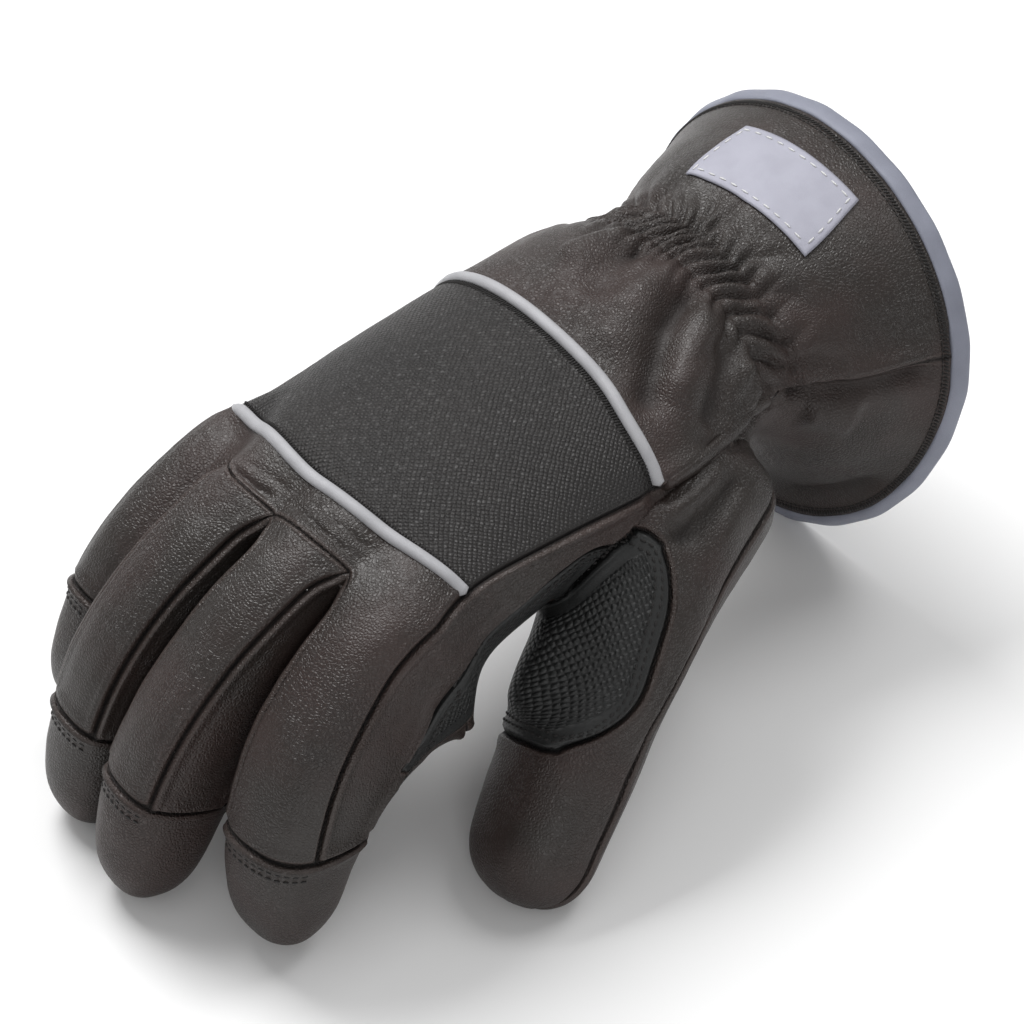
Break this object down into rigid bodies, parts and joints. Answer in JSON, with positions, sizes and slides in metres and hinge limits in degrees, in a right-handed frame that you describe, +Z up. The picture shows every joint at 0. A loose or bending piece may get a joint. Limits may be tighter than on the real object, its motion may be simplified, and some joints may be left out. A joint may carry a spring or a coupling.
{
  "type": "firefighter glove",
  "caption": "Right-hand leather firefighter glove with textile backhand patch, piping, textured crotch patches, gathered wrist and open bound cuff, resting palm down.",
  "frame": {"origin": "middle of the bottom of the glove at rest, on the surface it lies on", "axes": "+Z up from the surface, +Y along the hand to the cuff, fingers point to -Y, thumb on the +X side"},
  "size_m": [0.1352, 0.2358, 0.1056],
  "materials": {
    "leather": "satin pebbled",
    "textile": "matt dimpled",
    "crotch": "matt textured",
    "silver": "reflective",
    "binding": "reflective",
    "label": "reflective"
  },
  "bodies": {
    "root": {"knuckle_panel": "leather", "rear_back_panel": "leather", "palm_panel": "leather", "middle_back": "leather", "ring_back": "leather", "index_cap": "leather", "middle_cap": "leather", "ring_cap": "leather", "little_cap": "leather", "index_front": "leather", "middle_front": "leather", "ring_front": "leather", "little_front": "leather", "fourchette_middle_index": "leather", "fourchette_ring_middle": "leather", "fourchette_little_ring": "leather", "index_side_panel": "leather", "thumb_outer": "leather", "thumb_inner": "leather", "backhand_patch": "textile", "crotch_patch_hand": "crotch", "crotch_patch_thumb": "crotch", "front_piping": "silver", "rear_piping": "silver", "label_patch": "label", "cuff_binding": "binding"}
  },
  "joints": []
}
